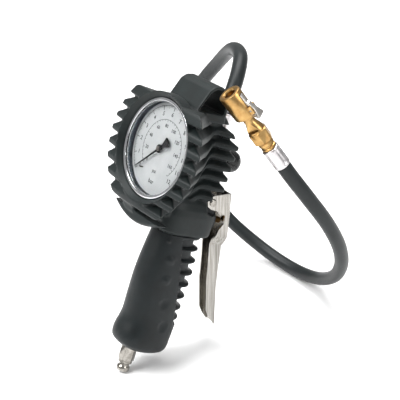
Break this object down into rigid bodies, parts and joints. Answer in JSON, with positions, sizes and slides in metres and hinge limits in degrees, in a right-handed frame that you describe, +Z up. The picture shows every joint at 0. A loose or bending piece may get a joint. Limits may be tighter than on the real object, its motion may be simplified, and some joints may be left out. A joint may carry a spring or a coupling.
{
  "type": "tyre inflator",
  "caption": "Pistol-grip tyre inflator: dial gauge in a finned rubber boot, ribbed grip, steel trigger lever, air-line plug, rubber hose and brass clip-on chuck.",
  "frame": {"origin": "centre of the outer end of the air-line plug at the foot of the grip", "axes": "+Z up as the tool rests on its plug and its hose; +X to the right of someone reading the dial; the dial faces -Y and 23 degrees upward; the grip leans back towards +Y"},
  "size_m": [0.2259, 0.2303, 0.2515],
  "materials": {
    "boot_rubber": "satin moulded",
    "grip_rubber": "satin moulded",
    "hose_rubber": "smooth extruded",
    "cast_body": "black powder coat",
    "black_plastic": "moulded",
    "chrome": "polished",
    "bright_steel": "polished",
    "crimp_alloy": "crimped",
    "brass": "turned",
    "dial_paint": "printed matt",
    "window": "clear",
    "nitrile": "matt"
  },
  "bodies": {
    "gun": {"gun_body": "cast_body", "head_boot": "boot_rubber", "grip_sleeve": "grip_rubber", "rear_cap": "black_plastic", "gauge_case": "cast_body", "gauge_bezel": "chrome", "gauge_window": "window", "dial_plate": "dial_paint", "zero_stop": "bright_steel", "movement_front_plate": "brass", "movement_rear_plate": "brass", "movement_post_1": "brass", "movement_post_2": "brass", "hairspring": "brass", "bourdon_tube": "brass", "gauge_socket": "brass", "air_plug": "bright_steel", "plug_washer": "nitrile", "inlet_tube": "bright_steel", "valve_plug": "brass", "valve_spring": "bright_steel", "valve_guide": "brass", "outlet_adapter": "bright_steel", "gun_ferrule": "crimp_alloy", "hose": "hose_rubber", "chuck_ferrule": "crimp_alloy", "chuck_collar": "brass", "chuck_nut": "brass", "chuck_body": "brass", "chuck_seal": "nitrile", "clip_pin": "bright_steel", "clip_spring": "bright_steel"},
    "trigger": {"trigger_lever": "bright_steel", "trigger_pin": "bright_steel", "pin_head_left": "bright_steel", "pin_head_right": "bright_steel"},
    "valve": {"valve_pin": "brass"},
    "pointer_body": {"pointer": "black_plastic", "pinion_arbor": "brass"},
    "sector": {"sector_gear": "brass"},
    "clip": {"clip_lever": "bright_steel"},
    "depressor": {"chuck_pin": "brass"}
  },
  "joints": [
    {"name": "trigger_pull", "type": "hinge", "parent": "gun", "child": "trigger", "pos_m": [0, 0.08698, 0.13581], "axis": [-1, 0, 0], "range_deg": [0, 11], "stiffness_Nm_per_rad": 0.6, "springref_deg": -5.73},
    {"name": "valve_press", "type": "slide", "parent": "gun", "child": "valve", "axis": [0, -0.9205, 0.3907], "range_m": [0, 0.0048], "deforming": ["valve_spring"]},
    {"name": "pointer_sweep", "type": "hinge", "parent": "gun", "child": "pointer_body", "pos_m": [0, 0.04159, 0.19267], "axis": [0, 0.9205, -0.3907], "range_deg": [0, 270], "stiffness_Nm_per_rad": 0.0002, "springref_deg": -17.19},
    {"name": "sector_swing", "type": "hinge", "parent": "gun", "child": "sector", "pos_m": [0, 0.04577, 0.17949], "axis": [0, 0.9205, -0.3907], "range_deg": [-33.75, 0]},
    {"name": "clip_open", "type": "hinge", "parent": "gun", "child": "clip", "pos_m": [0.05703, 0.08773, 0.23415], "axis": [-0.4743, 0.8051, 0.3562], "range_deg": [0, 10], "stiffness_Nm_per_rad": 0.05, "springref_deg": -11.46, "deforming": ["clip_spring"]},
    {"name": "depressor_push", "type": "slide", "parent": "gun", "child": "depressor", "axis": [0.2517, 0.5117, -0.8215], "range_m": [0, 0.0015], "stiffness_N_per_m": 300, "springref_m": -0.001}
  ],
  "couplings": [
    {"joint": "valve_press", "follows": "trigger_pull", "m_per_rad": 0.025},
    {"joint": "sector_swing", "follows": "pointer_sweep", "ratio": -0.125}
  ]
}
